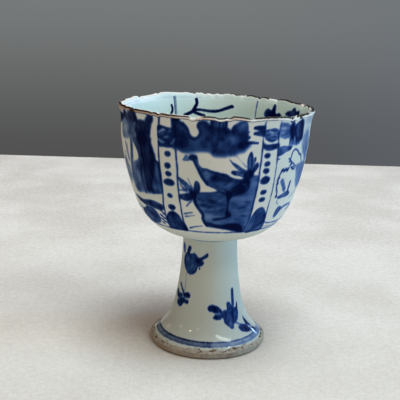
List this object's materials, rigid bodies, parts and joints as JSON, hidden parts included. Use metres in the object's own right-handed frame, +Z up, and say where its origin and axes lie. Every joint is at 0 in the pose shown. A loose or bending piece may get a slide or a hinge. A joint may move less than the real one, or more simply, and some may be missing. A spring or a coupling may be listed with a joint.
{
  "type": "stem cup",
  "caption": "Porcelain stem cup: deep rounded bowl with a slightly flared dressed lip, luted to a hollow flaring stem with a bare foot ring, glazed inside and out.",
  "frame": {"origin": "centre of the foot ring, on the surface that the cup stands on", "axes": "+Z up the cup's axis of revolution from the foot to the rim; -Y faces the viewer of the picture"},
  "size_m": [0.079, 0.079, 0.1],
  "materials": {
    "porcelain": "bare fired porcelain, fine and matt",
    "slip": "fired slip, hidden under the glaze",
    "painted_glaze": "clear bluish gloss glaze over cobalt-blue brush painting",
    "clear_glaze": "clear bluish gloss glaze with light cobalt-blue brush lines",
    "iron_rim": "thin brown iron dressing, worn pale in places"
  },
  "bodies": {
    "root": {"bowl": "porcelain", "stem": "porcelain", "luting_slip": "slip", "outer_glaze": "painted_glaze", "inner_glaze": "clear_glaze", "hollow_glaze": "clear_glaze", "rim_dressing": "iron_rim"}
  },
  "joints": []
}
